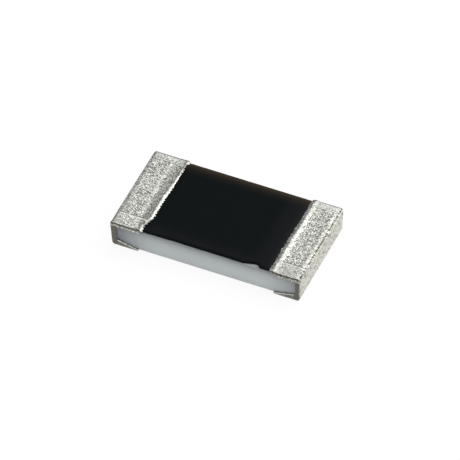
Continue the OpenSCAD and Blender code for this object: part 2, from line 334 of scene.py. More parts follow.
def buildPlainFinish(name, look):      # mottled finish for fired, printed and hidden layers
    finish, tree, shader = newFinish(name)
    link = tree.links.new
    mottle = placeGroup(tree, softMottle, Broad=look["broad"], Fine=look["fine"])
    shades = addRamp(tree, list(zip(mottleStops["tone"], (look["dark"], look["light"]))))
    greys = [(look[key],) * 3 for key in ("roughLow", "roughHigh")]
    gloss = addRamp(tree, list(zip(mottleStops["gloss"], greys)))
    link(mottle.outputs["Tone"], shades.inputs["Fac"])
    link(mottle.outputs["Tone"], gloss.inputs["Fac"])
    colour = shades.outputs["Color"]
    # colour overlays from point masks; on the ceramic and the coat these include painted shade and painted
    # sheen
    for mask, overlayTone in look.get("toneOverlays", {}).items():
        colour = blend(tree, pointMask(tree, mask), colour, overlayTone)
    link(colour, shader.inputs["Base Color"])
    link(gloss.outputs["Color"], shader.inputs["Roughness"])
    shader.inputs["Metallic"].default_value = look["metal"]
    shader.inputs["Specular IOR Level"].default_value = look["specular"]
    feedBump(tree, shader, mottle.outputs["Height"], look["relief"])
    return finish


ceramicLook = {
    "broad": 1400.0, "fine": 70000.0, "dark": (0.85, 0.90, 0.905), "light": (0.92, 0.965, 0.965),
    "roughLow": 0.5, "roughHigh": 0.62, "metal": 0.0, "specular": 0.4, "relief": 0.0000006,
    # painted shade: darker below the top, near the bottom and, bluish, near both ends
    "toneOverlays": {"shadeByDepth": (0.14, 0.148, 0.15), "nearEnd": (0.22, 0.24, 0.265)},
}
coatLook = {
    "broad": 900.0, "fine": 26000.0, "dark": (0.0016, 0.0035, 0.0039), "light": (0.0026, 0.0046, 0.0050),
    "roughLow": 0.5, "roughHigh": 0.6, "metal": 0.0, "specular": 0.06, "relief": 0.0000004,
    # a paler coat towards the front and the right end, and a painted brown sheen at the back edge
    "toneOverlays": {"paleCoat": (0.045, 0.043, 0.047), "backSheen": (0.055, 0.040, 0.026)},
}
hiddenLooks = {
    "silver_print": {
        "broad": 4000.0, "fine": 80000.0, "dark": (0.58, 0.57, 0.54), "light": (0.72, 0.71, 0.68),
        "roughLow": 0.4, "roughHigh": 0.55, "metal": 1.0, "specular": 0.5, "relief": 0.0000008},
    "resistive_print": {
        "broad": 5000.0, "fine": 90000.0, "dark": (0.018, 0.016, 0.015), "light": (0.045, 0.042, 0.04),
        "roughLow": 0.55, "roughHigh": 0.7, "metal": 0.0, "specular": 0.4, "relief": 0.000001},
    "glass_coat": {
        "broad": 3000.0, "fine": 50000.0, "dark": (0.05, 0.12, 0.08), "light": (0.09, 0.18, 0.12),
        "roughLow": 0.12, "roughHigh": 0.22, "metal": 0.0, "specular": 0.5, "relief": 0.0000003},
    "wrap_metal": {
        "broad": 6000.0, "fine": 90000.0, "dark": (0.40, 0.39, 0.37), "light": (0.55, 0.54, 0.52),
        "roughLow": 0.45, "roughHigh": 0.6, "metal": 1.0, "specular": 0.5, "relief": 0.0000008},
    "nickel": {
        "broad": 6000.0, "fine": 90000.0, "dark": (0.50, 0.47, 0.42), "light": (0.62, 0.59, 0.54),
        "roughLow": 0.3, "roughHigh": 0.42, "metal": 1.0, "specular": 0.5, "relief": 0.0000005},
}

tinFinish = buildTinFinish()
ceramicFinish = buildPlainFinish("firedAlumina", ceramicLook)
coatFinish = buildPlainFinish("blackOvercoat", coatLook)

hiddenNodes = {
    "silver_print": ["top_electrode_left", "top_electrode_right",
                     "bottom_electrode_left", "bottom_electrode_right"],
    "resistive_print": ["resistive_film"],
    "glass_coat": ["glass_coat"],
    "wrap_metal": ["end_termination_left", "end_termination_right"],
    "nickel": ["nickel_barrier_left", "nickel_barrier_right"],
}
for slot, nodes in hiddenNodes.items():
    layer = buildPlainFinish(slot + "Layer", hiddenLooks[slot])
    for node in nodes:
        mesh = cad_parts[node].data
        mesh.materials.clear()
        mesh.materials.append(layer)
print("finishes ready")


# black overcoat: printed dome over the film, flush with the back side
overcoat = {
    "leftEnd": -1.100, "rightEnd": 1.152, "side": 0.815, "deck": 0.427,
    "electrodeTop": 0.439, "glassTop": 0.457,
    "endRise": 0.004, "domeRise": 0.028, "domeRun": 0.22,
    "sideRise": 0.010, "sideRun": 0.08,
    "frontInset": [(-1.1, 0.020), (-0.75, 0.026), (-0.5, 0.030), (1.15, 0.029)],
    "columns": 260, "rows": 170,
    "waver": 0.006, "waverSize": 0.11, "fineSize": 0.0275, "fineShare": 0.5, "waverLeast": -0.6,
    "backShare": 0.5, "edgeGrip": 6, "orangePeel": 0.0006, "peelSize": 0.12, "thinnest": 0.0015,
    "chip": [(0.60, 0.0), (0.66, 0.014), (0.72, 0.030), (0.79, 0.050), (0.83, 0.047), (0.862, 0.0)],
    "chipRagged": (0.02, 0.15), "glassHalf": (0.88, 0.63), "electrodeHalf": (1.12, 0.725),
    # share of paler coat and of painted brown sheen, at places across the width and along the length
    "paleAcross": [(-0.76, 0.1), (-0.70, 0.07), (-0.6, 0.02), (-0.5, 0.0)],
    "paleAlong": [(0.65, 0.0), (0.8, 0.08), (0.95, 0.12), (1.05, 0.3)],
    "sheenAcross": [(0.58, 0.0), (0.66, 0.1), (0.73, 0.4), (0.78, 0.85), (0.815, 1.0)],
}


def coatHeight(x, y, form):
    film = form["electrodeTop"]
    fromEnd = np.minimum(x - form["leftEnd"], form["rightEnd"] - x)
    dome = np.sin(np.clip(fromEnd / form["domeRun"], 0.0, 1.0) * math.pi / 2)
    crown = film + form["endRise"] + form["domeRise"] * dome
    fromSide = form["side"] - np.abs(y)
    roll = np.sqrt(np.clip(1.0 - (1.0 - np.clip(fromSide / form["sideRun"], 0, 1)) ** 2, 0, 1))
    edge = film + form["sideRise"]
    return edge + (crown - edge) * roll


def buildOvercoat(form):
    bm = bmesh.new()
    bmesh.ops.create_grid(bm, x_segments=form["columns"], y_segments=form["rows"], size=1.0)
    grown = bmesh.ops.extrude_face_region(bm, geom=bm.faces[:], use_keep_orig=True)
    lifted = [v for v in grown["geom"] if isinstance(v, bmesh.types.BMVert)]
    bmesh.ops.translate(bm, verts=lifted, vec=(0.0, 0.0, 1.0))
    bmesh.ops.recalc_face_normals(bm, faces=bm.faces)
    piece = addPiece(bm, "black_overcoat_skin")

    p = readPoints(piece.data)
    isTop = p[:, 2] > 0.5               # the raised copy of the grid
    middle = (form["leftEnd"] + form["rightEnd"]) / 2
    x = middle + p[:, 0] * (form["rightEnd"] - form["leftEnd"]) / 2
    y = p[:, 1] * form["side"]
    flat = np.stack([x, np.zeros_like(x), np.zeros_like(x)], axis=1)
    waver = ripple(flat, form["waverSize"], 3) + form["fineShare"] * ripple(flat, form["fineSize"], 4)
    size, depth = form["chipRagged"]
    chip = np.interp(x, *np.array(form["chip"]).T) * (1.0 + depth * ripple(flat, size, 6))
    inset = np.interp(x, *np.array(form["frontInset"]).T)
    shrinkFront = inset + chip + form["waver"] * np.maximum(waver, form["waverLeast"])
    backWaver = np.maximum(ripple(flat, form["waverSize"], 5), 0.0)
    shrinkBack = form["waver"] * form["backShare"] * backWaver
    front = np.clip(-y / form["side"], 0, 1) ** form["edgeGrip"]
    back = np.clip(y / form["side"], 0, 1) ** form["edgeGrip"]
    top = coatHeight(x, y, form)
    wet = np.stack([x, y, np.zeros_like(x)], axis=1)
    top = top + form["orangePeel"] * ripple(wet, form["peelSize"], 7)
    inGlass = (np.abs(x) < form["glassHalf"][0]) & (np.abs(y) < form["glassHalf"][1])
    inPrint = (np.abs(x) < form["electrodeHalf"][0]) & (np.abs(y) < form["electrodeHalf"][1])
    under = np.where(inGlass, form["glassTop"], np.where(inPrint, form["electrodeTop"], form["deck"]))
    z = np.where(isTop, np.maximum(top, under + form["thinnest"]), under)
    paleAcross = np.interp(y, *np.array(form["paleAcross"]).T)
    paleAlong = np.interp(x, *np.array(form["paleAlong"]).T)
    paintedLight = np.interp(y, *np.array(form["sheenAcross"]).T)
    y = y + shrinkFront * front - shrinkBack * back
    writePoints(piece.data, np.stack([x, y, z], axis=1))
    # paler coat mask and painted sheen mask
    addMask(piece, "paleCoat", np.maximum(paleAcross, paleAlong))
    addMask(piece, "backSheen", paintedLight)
    return piece


coatPiece = buildOvercoat(overcoat)
print("overcoat shaped:", len(coatPiece.data.polygons), "faces")


# ceramic substrate: snapped alumina block
substrate = {
    "half": (1.525, 0.815), "low": 0.052, "high": 0.427,
    "scoreBevel": 0.005, "snapBevel": 0.04, "cornerBevel": 0.03, "voxel": 0.013,
    "snapSize": 0.11, "snapDepth": 0.0022, "pitSize": 0.03, "pitDepth": 0.0012,
    "settle": 0.8, "near": 0.001,
    # share of painted shade at depths under the top, and of bluish painted shade along the length
    "shadeByDepth": [(0.0, 0.66), (0.033, 0.46), (0.063, 0.35), (0.093, 0.25), (0.123, 0.165), (0.154, 0.12),
                  (0.184, 0.07), (0.214, 0.03), (0.26, 0.0), (0.33, 0.0), (0.355, 0.06), (0.375, 0.16)],
    "nearEnd": [(-1.48, 0.84), (-1.40, 0.74), (-1.325, 0.57), (-1.245, 0.44), (-1.165, 0.35), (-1.09, 0.2),
                (-0.95, 0.06), (-0.75, 0.0), (0.85, 0.0), (1.03, 0.06), (1.105, 0.13), (1.185, 0.2),
                (1.26, 0.31), (1.34, 0.41), (1.42, 0.54), (1.48, 0.6)],
}


def substrateBlock(form, name):
    hx, hy = form["half"]
    low, high, snap, near = form["low"], form["high"], form["snapBevel"], form["near"]
    bm = sweptOutline([(-hx + snap, low), (hx - snap, low), (hx, low + snap), (hx, high),
                       (-hx, high), (-hx, low + snap)], -hy, hy)

    def isUpright(a, b):
        return abs(a.x) > hx - near and abs(a.x - b.x) < near and abs(a.y - b.y) < near

    roundEdges(bm, isUpright, form["cornerBevel"], 1)
    return addPiece(bm, name)


def buildCeramic(form):
    piece = substrateBlock(form, "ceramic_block")
    voxelSkin(piece, form["voxel"])
    p = readPoints(piece.data)
    y, low = roundPair(np.abs(p[:, 1]), -p[:, 2], form["half"][1], -form["low"], form["scoreBevel"])
    p = np.stack([p[:, 0], np.sign(p[:, 1]) * y, -low], axis=1)
    writePoints(piece.data, p)
    n = readPoints(piece.data, "normal")
    sideways = np.abs(n[:, 1])
    move = form["snapDepth"] * (ripple(p, form["snapSize"], 11) - form["settle"]) * sideways
    move += form["pitDepth"] * (ripple(p, form["pitSize"], 12) - form["settle"]) * sideways
    writePoints(piece.data, p + n * move[:, None])
    # painted shade masks by depth and along the length
    addMask(piece, "shadeByDepth", np.interp(form["high"] - p[:, 2], *np.array(form["shadeByDepth"]).T))
    addMask(piece, "nearEnd", np.interp(p[:, 0], *np.array(form["nearEnd"]).T))
    return piece


ceramicPiece = buildCeramic(substrate)
print("ceramic shaped:", len(ceramicPiece.data.polygons), "faces")


# tin plating: grainy wraps with a sunken field, a crest and a beaded creeping edge
terminal = {
    "end": 1.565, "side": 0.843, "crestTop": 0.4882, "plating": 0.012, "skin": 0.0002, "inset": 0.0025,
    "topRound": 0.036, "lowRound": 0.072, "heel": 0.134, "uprightFront": 0.034, "uprightBack": 0.09,
    "lowTip": 1.120, "lowFlat": 1.20, "tipUnder": 0.043, "ledgeUnder": 0.42,
    "bandX": 1.473, "lipHigh": 0.409, "lipLow": 0.154, "tipLow": 0.066, "edgeReach": 0.002,
    "windowInner": 0.8, "windowReach": 1.2,
    "voxel": 0.0078, "coreVoxel": 0.012, "coreTop": 0.456, "coreSetback": 0.1,
    "beadMargin": 0.03, "beadDrop": 0.012, "dropFrom": 0.76, "dropRun": 0.06, "beadGap": (0.65, 1.3),
    "beadLong": (0.9, 1.35), "beadWide": (0.8, 1.2), "beadHigh": 0.9, "beadTurn": 0.6,
    "lapFrom": 0.40, "seamFrom": 0.43, "topFrom": 0.44, "facing": (0.35, 0.75),
    "fieldFront": -0.562, "fieldBack": 0.682, "fieldSoft": 0.016, "fieldWander": (0.12, 0.006),
    "ridge": 0.005, "ridgeWidth": 0.015, "ridgeOut": 1.2, "backRidge": 0.8,
    "valleyIn": 1.3, "valleyWidth": 0.012, "valleyDepth": 0.9,
    "crestRun": 0.05, "driftRun": 0.12, "edgeWave": 0.06, "edgeMost": 0.4,
    "seamAt": 1.523, "seamWidth": 0.015, "seamDepth": 0.0015, "seamWander": (0.12, 0.005),
    "seamBreaks": (0.035, 0.82, 1.7, 1.0),
    "nickAt": 1.497, "nickSize": 0.028, "nickDepth": 0.005, "nickShade": 0.5,
    "grain": [(0.21, 0.0010), (0.03, 0.0010), (0.016, 0.0008)], "speckle": (0.02, 0.5, 1.6, 1.0),
    "endBumps": (0.075, 0.0022), "endTurn": (0.55, 0.8), "endFacing": (0.2, 0.5),
}
# lines are heights at places from the middle outwards; drift is how far the inner edge steps back
# towards the end, at places across the width
terminalEnds = {
    "right": {
        "node": "tin_plating_right", "side": 1, "seed": 21, "shoulder": 0.076, "seam": 1.0, "nick": 0.16,
        "stripGlow": (0.3, 0.4), "stripShade": 0.27, "gapDark": 0.1, "edgeWander": 0.007,
        "rimLine": [(1.036, 0.468), (1.048, 0.4755), (1.062, 0.4805), (1.078, 0.4850), (1.090, 0.4872),
                    (1.098, 0.4878), (1.112, 0.4864), (1.136, 0.4832), (1.17, 0.4804), (1.22, 0.479),
                    (1.42, 0.479), (1.445, 0.4797), (1.458, 0.4796), (1.489, 0.4780), (1.565, 0.4780)],
        "fieldLine": [(1.090, 0.4872), (1.098, 0.4878), (1.11, 0.4864), (1.125, 0.4832), (1.14, 0.4796),
                      (1.155, 0.4763), (1.172, 0.4737), (1.192, 0.4717), (1.215, 0.4704), (1.235, 0.470),
                      (1.25, 0.470), (1.40, 0.470), (1.42, 0.4708), (1.44, 0.4724), (1.455, 0.4730),
                      (1.470, 0.4726), (1.485, 0.4709), (1.50, 0.4689), (1.513, 0.4670), (1.524, 0.4652),
                      (1.535, 0.4610), (1.565, 0.44)],
        "beads": {"at": 1.045, "spread": 0.012, "step": 0.030, "size": (0.010, 0.018), "z": 0.4625},
        "drift": [(-0.85, 0.0), (0.0, 0.0), (0.25, 0.006), (0.85, 0.008)]},
    "left": {
        "node": "tin_plating_left", "side": -1, "seed": 37, "shoulder": 0.04, "seam": 0.0, "nick": None,
        "stripGlow": (0.14, 0.3), "stripShade": 0.04, "gapDark": 0.25, "edgeWander": 0.003,
        "rimLine": [(1.020, 0.466), (1.027, 0.4815), (1.036, 0.4872), (1.044, 0.4878), (1.07, 0.4850),
                    (1.10, 0.4815), (1.14, 0.4792), (1.17, 0.479), (1.565, 0.479)],
        "fieldLine": [(1.036, 0.4872), (1.044, 0.4878), (1.06, 0.4860), (1.085, 0.4812), (1.11, 0.4765),
                      (1.135, 0.4725), (1.16, 0.4695), (1.18, 0.4684), (1.20, 0.4690), (1.23, 0.4706),
                      (1.26, 0.4706), (1.30, 0.470), (1.565, 0.470)],
        "beads": {"at": 1.004, "spread": 0.006, "step": 0.052, "size": (0.0150, 0.0215), "z": 0.4650},
        "rope": {"at": 1.020, "spread": 0.002, "step": 0.018, "size": (0.0155, 0.0175), "z": 0.4665},
        "drift": [(-0.85, 0.052), (-0.68, 0.05), (-0.52, 0.006), (-0.4, 0.0), (0.0, 0.0),
                  (0.33, -0.02), (0.6, -0.034), (0.85, -0.042)]},
}


def windowPrism(form, grow, side):     # bare ceramic on the long sides, wider by grow
    inner, reach = form["windowInner"], form["windowReach"]
    tip, band = form["lowTip"] + grow, form["bandX"] + grow
    tipLow, low, high = form["tipLow"] - grow, form["lipLow"] - grow, form["lipHigh"] + grow
    outline = [(inner, tipLow), (tip, tipLow), (band, low), (band, high), (inner, high)]
    bm = sweptOutline(outline, -reach, reach)
    mirrorTo(bm, side)
    return addPiece(bm, "windowCutter")


def roundOuter(p, form, end, top, inset):
    side = end["side"]
    far, wide, base = form["end"] - inset, form["side"] - inset, -inset
    upright = np.where(p[:, 1] < 0.0, form["uprightFront"], form["uprightBack"])
    u, y, z = side * p[:, 0], np.abs(p[:, 1]), p[:, 2]
    u, z = roundPair(u, z, far, top, end["shoulder"] - inset)
    y, z = roundPair(y, z, wide, top, form["topRound"] - inset)
    u, y = roundPair(u, y, far, wide, upright - inset)
    u, low = roundPair(u, -z, far, base, form["heel"] - inset)
    y, low = roundPair(y, low, wide, base, form["lowRound"] - inset)
    return np.stack([side * u, np.sign(p[:, 1]) * y, -low], axis=1)


def nickelCore(form, end):             # what the nickel and all under it take up
    side, t = end["side"], form["plating"]
    inner = end["rimLine"][0][0] + form["coreSetback"]
    outline = [(inner, form["tipUnder"] + t), (form["lowFlat"] + t, t), (form["end"] - t, t),
               (form["end"] - t, form["coreTop"]), (inner, form["coreTop"])]
    wide = form["side"] - t
    bm = sweptOutline(outline, -wide, wide)
    mirrorTo(bm, side)
    core = addPiece(bm, "coreCutter")
    voxelSkin(core, form["coreVoxel"])
    writePoints(core.data, roundOuter(readPoints(core.data), form, end, form["coreTop"], t))
    hole = windowPrism(form, t, side)
    cutAway(core, hole)
    dropPiece(hole)
    return core


def addBeads(bm, form, look, draw):    # a row of uneven beads, lower where the edge runs down the sides
    y = -form["side"] + form["beadMargin"]
    while y < form["side"] - form["beadMargin"]:
        size = draw.uniform(*look["size"])
        x = look["at"] + draw.uniform(-1.0, 1.0) * look["spread"]
        z = look["z"] - form["beadDrop"] * max(0.0, (abs(y) - form["dropFrom"]) / form["dropRun"])
        along, across = draw.uniform(*form["beadLong"]), draw.uniform(*form["beadWide"])
        stretch = Matrix.Diagonal((along, across, form["beadHigh"], 1.0))
        turn = Matrix.Rotation(draw.uniform(-form["beadTurn"], form["beadTurn"]), 4, "Z")
        bmesh.ops.create_icosphere(bm, subdivisions=2, radius=size,
                                   matrix=Matrix.Translation((x, y, z)) @ turn @ stretch)
        y += look["step"] * draw.uniform(*form["beadGap"])


def buildWrap(label, form, end):       # swept outline with its beads, joined to one skin
    wide, ledge = form["side"], end["rimLine"][0][0]
    outline = [(form["lowTip"], form["tipUnder"]), (form["lowFlat"], 0.0), (form["end"], 0.0)]
    outline += end["rimLine"][::-1] + [(ledge, form["ledgeUnder"]), (form["lowTip"], form["ledgeUnder"])]
    bm = sweptOutline(outline, -wide, wide)
    bmesh.ops.triangulate(bm, faces=bm.faces)
    draw = random.Random(end["seed"])
    for row in ("beads", "rope"):
        if row in end:
            addBeads(bm, form, end[row], draw)
    mirrorTo(bm, end["side"])
    piece = addPiece(bm, "tin_wrap_" + label)
    voxelSkin(piece, form["voxel"])
    return piece


def turnOver(out, up, limitOut, limitUp, radius):      # how far round an outer edge, as an angle
    outward = np.maximum(out - (limitOut - radius), 0.0)
    return np.arctan2(outward, np.maximum(up - (limitUp - radius), 1e-6))


def measureWrap(piece, form, end):     # rounds the outer edges and notes where each point lies
    side, far, wide = end["side"], form["end"], form["side"]
    raw = readPoints(piece.data)
    topLine = np.interp(side * raw[:, 0], *np.array(end["rimLine"]).T)
    p = roundOuter(raw, form, end, topLine, 0.0)
    writePoints(piece.data, p)
    n = readPoints(piece.data, "normal")
    at = SimpleNamespace(p=p, n=n, u=side * p[:, 0], y=p[:, 1].copy(), z=p[:, 2].copy())
    at.nu, at.ny, at.nz = side * n[:, 0], n[:, 1], n[:, 2]
    at.overEnd = turnOver(at.u, at.z, far, topLine, end["shoulder"])
    at.overSide = turnOver(np.abs(at.y), at.z, wide, topLine, form["topRound"])
    at.upward = ease(at.nz, *form["facing"]) * (at.z > form["topFrom"])
    at.sideways = ease(np.abs(at.ny), *form["facing"])
    at.onEnd = ease(at.overEnd, *form["endTurn"]) * ease(at.nu, *form["endFacing"])
    at.across = np.stack([at.y, at.y * 0.0, at.y * 0.0], axis=1)
    at.crest = end["fieldLine"][1][0]
    at.beyond = ease(at.u, at.crest, at.crest + form["crestRun"])
    size, reach = form["fieldWander"]
    at.wavyY = at.y + reach * ripple(p, size, end["seed"] + 1)
    front, back, soft = form["fieldFront"], form["fieldBack"], form["fieldSoft"]
    at.inFront = ease(at.wavyY, front - soft, front + soft)
    at.inField = at.inFront * (1.0 - ease(at.wavyY, back - soft, back + soft))
    return at


def sinkField(at, form, end):          # field between a front and a back ridge, climbing to the crest
    fieldLine = np.array(end["fieldLine"])
    front, back, soft = form["fieldFront"], form["fieldBack"], form["fieldSoft"]
    lift = np.minimum(0.0, np.interp(at.u, *fieldLine.T) - at.z) * at.inField * (at.u > fieldLine[0, 0])
    ridges = bump(at.wavyY, front - soft * form["ridgeOut"], form["ridgeWidth"])
    ridges += form["backRidge"] * bump(at.wavyY, back + soft * form["ridgeOut"], form["ridgeWidth"])
    valley = bump(at.wavyY, front + soft * form["valleyIn"], form["valleyWidth"])
    lift += form["ridge"] * (ridges - form["valleyDepth"] * valley) * at.beyond
    at.p[:, 2] += lift * at.upward


def driftEdge(at, form, end):          # inner edge steps back and wanders across the width
    drift = np.interp(at.y, *np.array(end["drift"]).T)
    waves = ripple(at.across, form["edgeWave"], end["seed"] + 13)
    drift += end["edgeWander"] * np.minimum(form["edgeMost"], waves)
    fade = 1.0 - ease(at.u, at.crest, at.crest + form["driftRun"])
    at.p[:, 0] += end["side"] * drift * fade * (at.z > form["lapFrom"])


def roughenTin(at, form, end):         # broken seam at the shoulder, a nick in it, and crystal grain
    seed, far, wide, skin = end["seed"], form["end"], form["side"], form["skin"]
    size, reach = form["seamWander"]
    seamLine = form["seamAt"] + reach * ripple(at.across, size, seed + 10)
    at.seam = bump(at.u, seamLine, form["seamWidth"]) * (at.z > form["seamFrom"]) * end["seam"]
    at.seam *= patchy(at.across, *form["seamBreaks"], seed + 2)
    move = -form["seamDepth"] * at.seam - form["inset"]
    if end["nick"] is not None:
        nick = bump(np.hypot(at.y - end["nick"], at.u - form["nickAt"]), 0.0, form["nickSize"])
        move -= form["nickDepth"] * nick
        # the nick also gets painted deep shade through the seam mask
        at.seam = np.maximum(at.seam, form["nickShade"] * nick)
    for index, (size, depth) in enumerate(form["grain"]):
        move += depth * ripple(at.p, size, seed + 3 + index)
    size, depth = form["endBumps"]
    move += depth * ripple(at.p, size, seed + 9) * at.onEnd
    lowest = (-far + form["inset"], -wide + skin, skin)
    highest = (far - form["inset"], wide - skin, form["crestTop"])
    at.p = np.clip(at.p + at.n * move[:, None], lowest, highest)
    at.speckle = patchy(at.p, *form["speckle"], seed + 12)


# shares of painted shade and painted highlight, and where they lie
tinEdges = {
    "frontEdge": 0.8, "frontTurn": (0.2, 0.4), "frontStop": (0.9, 1.15),
    "backEdge": 0.75, "backDeepShade": 0.6, "backRun": (0.040, 0.020),
    "lipFoot": 0.9, "footWidth": 0.014,
    "lipFace": (0.35, 0.5), "lipLight": 0.8, "lipMiddle": 0.432, "lipWidth": 0.010,
    "column": (0.94, 0.06), "columnRun": (0.03, 0.01), "columnOver": 0.01, "columnFade": (0.035, 0.005),
    "lens": 0.88, "lensLight": 0.95, "lensGlow": 0.9, "lensDrop": 0.003, "lensWidth": 0.013,
    "under": 0.5, "underFacing": (0.15, 0.6),
    "outer": 0.5, "outerRun": (0.085, 0.045),
    "backCorner": 0.6, "backFacing": (0.3, 0.6),
    "frontCorner": 0.45, "frontFacing": (0.25, 0.5),
    "frontLine": (1.2, 0.014), "backLine": (1.3, 0.016), "backShare": 0.6,
    "lineGlow": 0.9, "lineGuard": 0.8, "gapLine": (1.4, 0.012),
}
rightCrest = {
    "bandOut": 0.026, "bandWidth": 0.024, "bandDark": 0.24, "bandGlow": 0.6,
    "edgeIn": 0.028, "edgeWidth": 0.02, "edgeDark": 0.2, "edgeGlow": 0.5,
    "footOut": 0.085, "footWidth": 0.035, "footDark": 0.18,
    "fringeIn": 0.010, "fringeFrom": 0.45, "fringeRun": (1.06, 1.085), "fringeDark": (0.3, 0.16),
}
leftCrest = {
    "fringeOut": 0.003, "fringeFrom": 0.44, "fringeGlow": (0.8, 0.2), "gaps": (0.017, -0.6, 1.8, 0.3),
    "stepDark": 0.75, "stepRun": (0.50, 0.56), "stepStop": (0.72, 0.76),
    "shadeDark": 0.75, "shadeOut": 0.002, "shadeWidth": 0.015, "shadeFrom": 0.45,
    "footDark": (0.01, 0.14), "footOut": 0.05, "footWidth": 0.035,
    "lightGlow": 0.24, "lightAt": 1.208, "lightWidth": 0.026,
}


# painted shade and painted highlight along the crest and the outer edge
def paintRightCrest(at, form, look):   # dark shares and glow along the crest and the outer edge
    band = bump(at.u, at.crest + look["bandOut"], look["bandWidth"]) * at.upward
    edge = bump(at.u, form["seamAt"] - look["edgeIn"], look["edgeWidth"]) * at.upward
    foot = bump(at.u, at.crest + look["footOut"], look["footWidth"]) * at.upward * at.beyond
    fringe = (at.u < at.crest - look["fringeIn"]) * (at.z > look["fringeFrom"])
    rise, grit = look["fringeDark"]
    darks = [look["bandDark"] * band, look["edgeDark"] * edge, look["footDark"] * foot,
             fringe * (rise * ease(at.u, *look["fringeRun"]) + grit * at.speckle)]
    return darks, np.maximum(look["bandGlow"] * band, look["edgeGlow"] * edge)


# painted shade and painted highlight along the rope of beads and behind it
def paintLeftCrest(at, end, look):     # dark shares and glow along the rope of beads and behind it
    fringe = (at.u < end["rope"]["at"] + look["fringeOut"]) * (at.z > look["fringeFrom"])
    between = patchy(at.across, *look["gaps"], end["seed"] + 14)
    step = ease(-at.y, *look["stepRun"]) * (1.0 - ease(-at.y, *look["stepStop"]))
    shade = bump(at.u, at.crest + look["shadeOut"], look["shadeWidth"]) * (1.0 - fringe)
    foot = bump(at.u, at.crest + look["footOut"], look["footWidth"]) * at.upward
    light = bump(at.u, look["lightAt"], look["lightWidth"]) * at.upward
    (plain, grit), (even, sparkle) = look["footDark"], look["fringeGlow"]
    darks = [fringe * np.maximum(between, look["stepDark"] * step),
             look["shadeDark"] * shade * (at.z > look["shadeFrom"]), foot * (plain + grit * at.speckle)]
    return darks, fringe * (even + sparkle * at.speckle) + look["lightGlow"] * light


# the lines feed painted highlight, the gap feeds painted shade
def fieldLines(at, form, look):        # smooth lines on both ridges, and the gap beside the front one
    front, back, soft = form["fieldFront"], form["fieldBack"], form["fieldSoft"]
    (frontOut, frontWidth), (backOut, backWidth) = look["frontLine"], look["backLine"]
    gapIn, gapWidth = look["gapLine"]
    lines = bump(at.wavyY, front - soft * frontOut, frontWidth)
    lines += look["backShare"] * bump(at.wavyY, back + soft * backOut, backWidth)
    return lines, bump(at.wavyY, front + soft * gapIn, gapWidth)


def sideDarks(at, form, end, look, lensLine):          # painted shade on lips, columns and lower lenses
    far, bandX, lipHigh = form["end"], form["bandX"], form["lipHigh"]
    inward = at.u < bandX
    lipFoot = bump(at.z, lipHigh, look["footWidth"]) * at.sideways * inward
    plain, grit = look["lipFace"]
    lipFace = at.sideways * (at.z > lipHigh) * inward * (plain + grit * at.speckle)
    lipFace *= 1.0 - look["lipLight"] * bump(at.z, look["lipMiddle"], look["lipWidth"])
    start, full = look["columnRun"]
    column = at.sideways * ease(at.u, bandX - start, bandX - full) * (at.z < lipHigh + look["columnOver"])
    if end["side"] > 0:
        start, full = look["columnFade"]
        column *= 1.0 - ease(at.u, far - start, far - full)
    plain, grit = look["column"]
    lens = at.sideways * (at.z < form["lipLow"]) * (1.0 - look["lensLight"] * lensLine)
    return [look["lipFoot"] * lipFoot, lipFace, column * (plain + grit * at.speckle), look["lens"] * lens]


def paintTin(piece, at, form, end, look):
    far, wide, isRight = form["end"], form["side"], end["side"] > 0
    slant = np.interp(at.u, (form["lowTip"], form["bandX"]), (form["tipLow"], form["lipLow"]))
    lensLine = bump(at.z, slant - look["lensDrop"], look["lensWidth"])
    lines, gap = fieldLines(at, form, look)
    onTop, standing = at.upward * at.beyond, 1.0 - at.upward
    if isRight:
        darks, crestGlow = paintRightCrest(at, form, rightCrest)
    else:
        darks, crestGlow = paintLeftCrest(at, end, leftCrest)

    # painted shade on the outer edges
    frontEdge = ease(at.overSide, *look["frontTurn"]) * (1.0 - ease(at.overSide, *look["frontStop"]))
    start, full = look["backRun"]
    backEdge = ease(at.y, wide - start, wide - full) * (at.z > form["lapFrom"])
    backCorner = ease(np.minimum(at.nu, at.ny), *look["backFacing"]) * standing
    darks += sideDarks(at, form, end, look, lensLine)
    darks += [look["frontEdge"] * frontEdge * (at.y < 0), look["backEdge"] * backEdge,
              look["backCorner"] * backCorner, look["under"] * ease(-at.nz, *look["underFacing"]),
              end["gapDark"] * gap * onTop]
    guard = 1.0 - look["lineGuard"] * np.minimum(lines, 1.0)
    darks.append(end["stripShade"] * (1.0 - at.inFront) * onTop * guard)

    # painted deep shade in the seam, on the back edge and on the left front corner
    deepShades = [at.seam, look["backDeepShade"] * backEdge]
    if not isRight:
        start, full = look["outerRun"]
        darks.append(look["outer"] * ease(at.u, far - start, far - full) * (at.z > form["lapFrom"]))
        frontCorner = ease(np.minimum(at.nu, -at.ny), *look["frontFacing"]) * standing
        deepShades.append(look["frontCorner"] * frontCorner)

    # painted highlight on the strips, their lines, the crest and the lower lenses
    stripGlow = np.where(at.y < 0.0, *end["stripGlow"])
    strips = onTop * np.maximum(stripGlow * (1.0 - at.inField), look["lineGlow"] * lines)
    lowLine = look["lensGlow"] * at.sideways * lensLine * (at.u < form["bandX"])
    # painted shade, painted deep shade and painted highlight go to point masks
    addMask(piece, "paintedShade", np.maximum.reduce(darks))
    addMask(piece, "paintedDeepShade", np.maximum.reduce(deepShades))
    addMask(piece, "endFace", at.onEnd)
    addMask(piece, "bright", np.maximum.reduce([strips, crestGlow, lowLine]))


